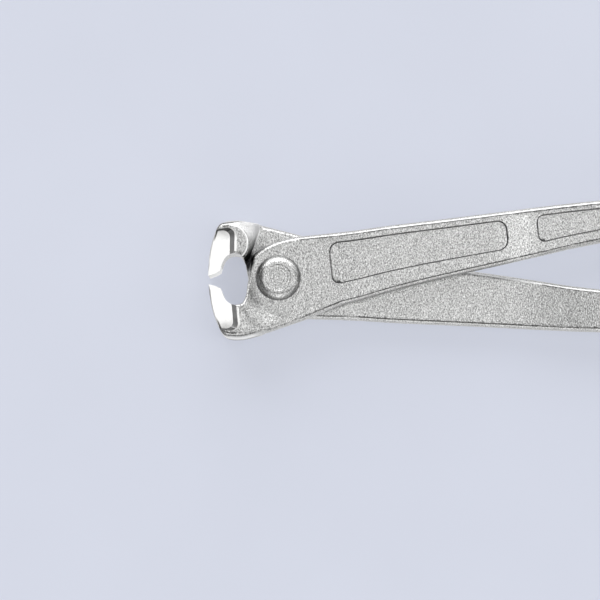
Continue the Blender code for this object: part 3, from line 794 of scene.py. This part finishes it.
class PaintedLightAndShade:
    """Where a lever gets painted highlights, painted light and painted shade, each as a share from 0 to
    1.

    Level is the upright part of the surface's direction: 1 on a face and 0 on a side.
    """

    def __init__(self, make):
        sockets = make.places()
        self.make = make
        self.x, y, z = (make.axis(sockets["Object"], name) for name in "XYZ")
        self.facing = tuple(make.axis(sockets["Normal"], name) for name in "XYZ")
        self.level = make.size(self.facing[2])
        self.side, self.across = make.math("SIGN", y), make.size(y)
        self.high = make.minus(z, MIDDLE)
        self.beyond = make.times(self.side, self.high)  # height over the jaw's own lap face
        self.step_wall()
        self.face_edges()
        self.back()
        self.inner_corners()

    def step_wall(self):
        """Painted highlights on the wall's upper edge, its fillet and the handles' inner upper edges,
        and painted light on the sloping face at the wall's outer end.
        """
        make, x, across, level, beyond = self.make, self.x, self.across, self.level, self.beyond
        jaw = make.below(make.off(x, -11.5 * MM), 5.5 * MM)
        wall = make.times(jaw, make.rise(self.facing[0], 0.18, 0.28), make.above(beyond, -0.4 * MM))
        reach = make.math("SQRT", make.plus(make.square(x, CREST[0], CREST_RADIUS),
                                            make.square(across, CREST[1], CREST_RADIUS)))
        crest = make.times(make.band(reach, 0.90, 0.95, 1.0, 1.0), make.above(beyond, 9.5 * MM), jaw)
        turning = make.band(level, 0.76, 0.82, 0.91, 0.95)
        fillet = make.times(wall, turning, make.below(beyond, 2.0 * MM))
        edge = make.times(turning, make.above(self.facing[1], 0.25), make.above(x, 40 * MM))
        # Painted highlight: the wall's upper edge, its fillet and the handles' inner upper edges.
        self.painted_highlight = make.math("MAXIMUM", make.math("MAXIMUM", crest, fillet), edge)
        # Painted light on the sloping face at the wall's outer end.
        self.painted_facet_light = make.times(wall, make.band(level, 0.03, 0.09, 0.96, 0.98),
                                make.rise(across, 11.6 * MM, 15.6 * MM, 20 * MM),
                                make.above(reach, 1.03))

    def face_edges(self):
        """Painted shade: a thin dark line where a face starts to turn over, along the levers but not
        across them, and left off the inner edge near the crossing.
        """
        make, x, (nx, ny, nz) = self.make, self.x, self.facing
        outward = make.times(self.side, nz)
        tilt = make.minus(self.level, make.times(make.above(outward, 0.0), 0.007))
        askew = make.size(make.math("DIVIDE", nx, ny))
        askew = make.minus(askew, make.times(make.above(x, 88 * MM), 0.35))
        inside = make.below(make.times(self.side, ny), -0.05)
        bright = make.times(inside, make.below(outward, 0.0), make.below(make.off(x, 68 * MM), 28 * MM))
        # Painted shade along the turning faces.
        self.line = make.times(make.band(tilt, 0.91, 0.94, 0.976, 0.984), make.fall(askew, 0.28, 0.46),
                               make.above(make.off(x, -4 * MM), 12 * MM), make.minus(1.0, bright))

    def back(self):
        """Painted shade along the line where the dies part and where the wall turns over, and a painted
        highlight on the strips beside that line, round the outer wall of the jaw.
        """
        make, level = self.make, self.level
        ahead = make.rise(make.times(self.x, -1.0), 7.4 * MM, 10 * MM, 20 * MM)
        back = make.times(ahead, make.above(self.across, 14 * MM))
        upright = make.times(back, make.fall(level, 0.22, 0.30))
        rise = make.size(self.high)
        # Painted shade along the line where the dies part.
        self.painted_parting_shade = make.times(upright, make.fall(rise, 0.9 * MM, 1.7 * MM, 10 * MM))
        # Painted highlight on the strips beside it.
        self.painted_strip_highlight = make.times(upright, make.band(rise, 1.5 * MM, 3.5 * MM, 6.5 * MM, 9.2 * MM,
                                                     span=10 * MM))
        # Painted shade where the wall turns over.
        self.seam = make.times(back, make.band(level, 0.30, 0.45, 0.70, 0.80))

    def inner_corners(self):
        """Painted shade deep in the corner of the bite, and painted light on the stretch between the
        panels.
        """
        make = self.make
        painted_bite_shade = make.plus(make.square(self.x, -10.5 * MM, 2.5 * MM),
                          make.square(self.across, 6.9 * MM, 4.5 * MM))
        deep = make.below(make.off(self.beyond, 4.5 * MM), 5.0 * MM)
        # Painted shade deep in the corner of the bite.
        self.painted_bite_shade = make.times(make.fall(painted_bite_shade, 0.3, 1.0), deep)
        # Painted light on the stretch between the panels.
        painted_bridge_light = make.fall(make.off(self.x, 88 * MM), 1.5 * MM, 8.5 * MM, 10 * MM)
        self.painted_bridge_light = make.times(painted_bridge_light, make.above(make.size(self.high), 4 * MM))


def forged_skin(make, finish):
    """Places, grain, patches and relief of the pebbled skin, with faint waves and slanting marks."""
    where = make.places()["Object"]
    drawn = make.stretched(where, GRAIN_STRETCH)
    grain = make.noise(drawn, finish.grain, 2.0, 0.62)
    pits = make.add("ShaderNodeTexVoronoi", {"Vector": drawn, "Scale": 1 / (finish.grain * 1.6)},
                    feature="SMOOTH_F1").outputs["Distance"]
    waves = make.noise(where, finish.grain * 14, 2.0)
    patches = make.noise(where, finish.grain * 44, 3.0)
    marks = make.noise(make.stretched(where, SLANT_STRETCH, SLANT), finish.grain * 4, 2.0)
    height = make.plus(make.plus(grain, make.times(pits, 0.85)), make.times(marks, 0.18))
    normal = make.bump(height, finish.relief, 1.0, make.bump(waves, finish.grain * 0.5, 0.25))
    return where, grain, patches, normal


def plated_colour(make, finish, grain, patches, shade=1.0):
    """Zinc, darker in the valleys of the grain and uneven from patch to patch."""
    light = tuple(min(c * shade, 1.0) for c in finish.plating)
    dark = tuple(c * GRAIN_DARK * shade for c in finish.plating)
    colour = make.blend("MIX", make.rise(grain, 0.34, 0.66), dark, light)
    return make.blend("MULTIPLY", 1.0, colour, make.ramp(patches, (0.3, 0.94), (0.7, 1.04)))


def plated(make, finish, colour, patches, normal):
    """The finished plating: colour with painted shade in recesses, gloss and relief."""
    make.link(make.darkened(colour, finish, *RECESS_PAINTED_SHADE), "Base Color")
    make.link(make.ramp(patches, (0.25, 0.28), (0.75, 0.36)), "Roughness")
    make.link(normal, "Normal")
    return make.owner


def forging_finish(name, finish):
    """Zinc-plated forging with its grain, painted highlights, painted light and painted shade."""
    make = Nodes(bpy.data.materials.new(name))
    _, grain, patches, normal = forged_skin(make, finish)
    colour = plated_colour(make, finish, grain, patches)
    wear = PaintedLightAndShade(make)
    # Painted shade on the turning faces and where the jaw's wall turns, painted light between the
    # panels.
    for share, level in ((wear.line, 0.25), (wear.seam, 0.40), (wear.painted_bridge_light, 1.22)):
        colour = make.blend("MULTIPLY", share, colour, (level, level, level))
    # Painted shade in corners.
    colour = make.darkened(colour, finish, *PAINTED_CREVICE_SHADE)
    # Painted light and highlights on the wall and edges, painted shade on the die line and in the bite.
    for share, level in ((wear.painted_facet_light, 0.62), (wear.painted_highlight, 0.90), (wear.painted_strip_highlight, 0.84),
                         (wear.painted_parting_shade, 0.08), (wear.painted_bite_shade, 0.02)):
        colour = make.blend("MIX", share, colour, (level, level, level))
    # The painted highlights and light lose their metal look.
    dull = make.times(make.math("MAXIMUM", wear.painted_highlight, wear.painted_facet_light), DULLED)
    make.link(make.minus(1.0, dull), "Metallic")
    return plated(make, finish, colour, patches, normal)


def rivet_finish(finish):
    """The same plating on a turned head: faint rings, painted shade that makes the shoulder a little
    darker than the flat, and painted shade in corners.
    """
    make = Nodes(bpy.data.materials.new("zinc_plated_rivet"))
    where, grain, patches, normal = forged_skin(make, finish)
    ring = make.add("ShaderNodeTexWave",
                    {"Vector": where, "Scale": 290.0, "Distortion": 2.4, "Detail": 2.0},
                    wave_type="RINGS", rings_direction="Z").outputs["Fac"]
    normal = make.bump(ring, finish.relief * 0.8, 0.55, normal)
    colour = plated_colour(make, finish, grain, patches, RIVET_SHADE)
    # Painted shade on the shoulder, the more the further it turns from the flat.
    facing = make.places()["Normal"]
    level = make.plus(make.times(make.size(make.axis(facing, "Y")), 0.3),
                      make.size(make.axis(facing, "Z")))
    colour = make.blend("MULTIPLY", 1.0, colour, make.ramp(level, (0.60, 0.50), (0.95, 1.0)))
    colour = make.darkened(colour, finish, *PAINTED_CREVICE_SHADE)
    make.shader.inputs["Metallic"].default_value = 1.0
    return plated(make, finish, colour, patches, normal)


def ground_finish(name, finish, tone, metallic=1.0):
    """Ground and plated steel, with fine wheel lines along the jaw, darker towards the outer end, black
    painted shade at the flank's outer corner and painted shade in corners.
    """
    make = Nodes(bpy.data.materials.new(name))
    sockets = make.places()
    where = sockets["Object"]
    scratch = make.noise(make.stretched(where, (1.0, 14.0, 1.0)), finish.grain * 2, 3.0, 0.6)
    patches = make.noise(where, finish.grain * 7, 3.0)
    colour = make.blend("MIX", make.rise(patches, 0.3, 0.6), tuple(c * 0.92 for c in tone), tuple(tone))
    across = make.size(make.axis(where, "Y"))
    clouded = make.plus(make.times(across, 1 / (20 * MM)), make.times(patches, 0.3))
    colour = make.blend("MULTIPLY", 1.0, colour, make.ramp(clouded, (0.85, 1.0), (1.0, 0.6)))
    # Black painted shade on the flat at the flank's outer corner.
    along, aside, offset = PAINTED_CORNER_LINE
    inward = make.plus(make.times(make.axis(where, "X"), along / MM), offset)
    inward = make.plus(inward, make.times(across, aside / MM))
    flat = make.above(make.size(make.axis(sockets["Normal"], "Z")), 0.9)
    corner = make.times(flat, make.rise(across, 13.4 * MM, 15.6 * MM, 20 * MM),
                        make.fall(inward, 0.55, 0.9))
    colour = make.blend("MIX", corner, colour, (0.03, 0.03, 0.03))
    # Painted shade in corners.
    make.link(make.darkened(colour, finish, *PAINTED_GROUND_SHADE), "Base Color")
    make.link(make.ramp(scratch, (0.3, 0.27), (0.7, 0.38)), "Roughness")
    make.link(make.bump(scratch, finish.relief * 0.07, 0.6), "Normal")
    make.shader.inputs["Metallic"].default_value = metallic
    return make.owner


def lever_finishes(finish):
    """The finishes of a lever, by the kind of face; the hollow and its foot get darkened copies of the
    ground finish as painted shade.
    """
    hollow = [c * HOLLOW_SHADE for c in finish.hollow_tone]
    foot = [c * FOOT_SHADE for c in finish.hollow_tone]
    return {"forging": forging_finish("zinc_plated_forging", finish),
            "ground": ground_finish("ground_steel", finish, finish.ground),
            "hollow": ground_finish("wheel_hollow_painted_shade", finish, hollow, 0.8),
            "foot": ground_finish("hollow_foot_painted_shade", finish, foot, 0.3)}


def bench_finish(finish):
    """Matt pale bench top that glows a little where it is seen or mirrored, so shadows stay light."""
    make = Nodes(bpy.data.materials.new("bench_top"))
    where = make.places()["Object"]
    tone = make.ramp(make.noise(where, 60 * MM, 2.0), (0.3, 0.99), (0.7, 1.01))
    colour = make.blend("MULTIPLY", 1.0, tuple(finish.bench), tone)
    make.link(colour, "Base Color")
    make.shader.inputs["Roughness"].default_value = 0.9
    make.shader.inputs["Specular IOR Level"].default_value = 0.2
    path = make.add("ShaderNodeLightPath").outputs
    seen = make.math("MAXIMUM", make.times(path["Is Camera Ray"], BENCH_GLOW), path["Is Glossy Ray"])
    glance = make.blend("MIX", path["Is Glossy Ray"], colour, BENCH_IN_METAL)
    glow = make.add("ShaderNodeEmission", {"Color": glance}).outputs[0]
    both = make.add("ShaderNodeMixShader", {0: seen, 1: make.shader.outputs[0], 2: glow})
    make.tree.links.new(both.outputs[0], make.tree.nodes["Material Output"].inputs["Surface"])
    return make.owner


def away(azimuth, lean):
    """Direction at a compass angle from +X, leaning from the vertical."""
    azimuth, lean = math.radians(azimuth), math.radians(lean)
    return Vector((math.sin(lean) * math.cos(azimuth), math.sin(lean) * math.sin(azimuth),
                   math.cos(lean)))


def studio_world(finish):
    """A dim room with large soft cards in it; only the bench colour is seen behind the tool."""
    world = bpy.data.worlds.new("studio")
    make = Nodes(world)
    make.tree.nodes.clear()
    sight = make.places()["Generated"]
    level = ROOM
    for azimuth, lean, radius, soft, strength in CARDS:
        near = make.add("ShaderNodeVectorMath", {0: sight, 1: away(azimuth, lean)},
                        operation="DOT_PRODUCT")
        card = make.add("ShaderNodeMapRange", {"Value": near.outputs["Value"], "To Max": strength,
                                               "From Min": math.cos(math.radians(radius + soft)),
                                               "From Max": math.cos(math.radians(radius))},
                        interpolation_type="SMOOTHSTEP")
        level = make.plus(level, card.outputs[0])
    room = make.add("ShaderNodeBackground", {"Color": level})
    backdrop = make.add("ShaderNodeBackground", {"Color": (*finish.bench, 1.0)})
    seen = make.add("ShaderNodeLightPath").outputs["Is Camera Ray"]
    both = make.add("ShaderNodeMixShader", {0: seen, 1: room.outputs[0], 2: backdrop.outputs[0]})
    make.add("ShaderNodeOutputWorld", {"Surface": both.outputs[0]})
    return world


class PLIERS_OT_studio(Operator):
    """Lay the bench, light it softly and look straight down on the tool"""
    bl_idname = "pliers.studio"
    bl_label = "Studio"

    def execute(self, context):
        finish = context.scene.pliers_finish
        fresh()
        bpy.ops.mesh.primitive_plane_add(size=BENCH_SIZE, location=(0.0, 0.0, FLOOR))
        bench = added("bench", bench_finish(finish))
        azimuth, lean, radius, level = OVERHEAD
        bpy.ops.object.light_add(type="SUN", location=(0.0, 0.0, 1.0))
        sun = context.object
        sun.name = sun.data.name = "overhead"
        sun.rotation_euler = away(azimuth, lean).to_track_quat("Z", "Y").to_euler()
        sun.data.angle = math.radians(radius * 2)
        sun.data.energy = level * math.pi * math.sin(math.radians(radius)) ** 2
        context.scene.world = studio_world(finish)
        view = Matrix.Rotation(CAMERA_TURN, 3, "Z") @ Matrix.Rotation(CAMERA_LEAN, 3, "X")
        fresh()
        bpy.ops.object.camera_add(location=AIM + view @ Vector((0.0, 0.0, CAMERA_DISTANCE)),
                                  rotation=view.to_euler())
        camera = context.object
        camera.data.sensor_width = SENSOR
        camera.data.lens = SENSOR * CAMERA_DISTANCE / (IMAGE * PIXEL)
        camera.data.clip_end = SIGHT_END
        context.scene.camera = camera
        context.scene.view_settings.view_transform = "Standard"
        return {"FINISHED"}


class PLIERS_PT_panel(Panel):
    """Steps that dress the pliers"""
    bl_label = "Rebar Tying Pliers"
    bl_idname = "PLIERS_PT_panel"
    bl_space_type = "VIEW_3D"
    bl_region_type = "UI"
    bl_category = "Pliers"

    def draw(self, context):
        for step in STEPS:
            self.layout.operator(step.bl_idname)
        for group in (context.scene.pliers_sizes, context.scene.pliers_finish):
            box = self.layout.box()
            for name in group.__annotations__:
                box.prop(group, name)


STEPS = (PLIERS_OT_levers, PLIERS_OT_rivet, PLIERS_OT_studio)
CLASSES = (PliersSizes, PliersFinish, *STEPS, PLIERS_PT_panel)


def register():
    for each in CLASSES:
        bpy.utils.register_class(each)
    bpy.types.Scene.pliers_sizes = PointerProperty(type=PliersSizes)
    bpy.types.Scene.pliers_finish = PointerProperty(type=PliersFinish)


def unregister():
    del bpy.types.Scene.pliers_finish, bpy.types.Scene.pliers_sizes
    for each in reversed(CLASSES):
        bpy.utils.unregister_class(each)


def main():
    register()
    bpy.ops.pliers.levers()
    bpy.ops.pliers.rivet()
    bpy.ops.pliers.studio()


if __name__ == "__main__":
    main()
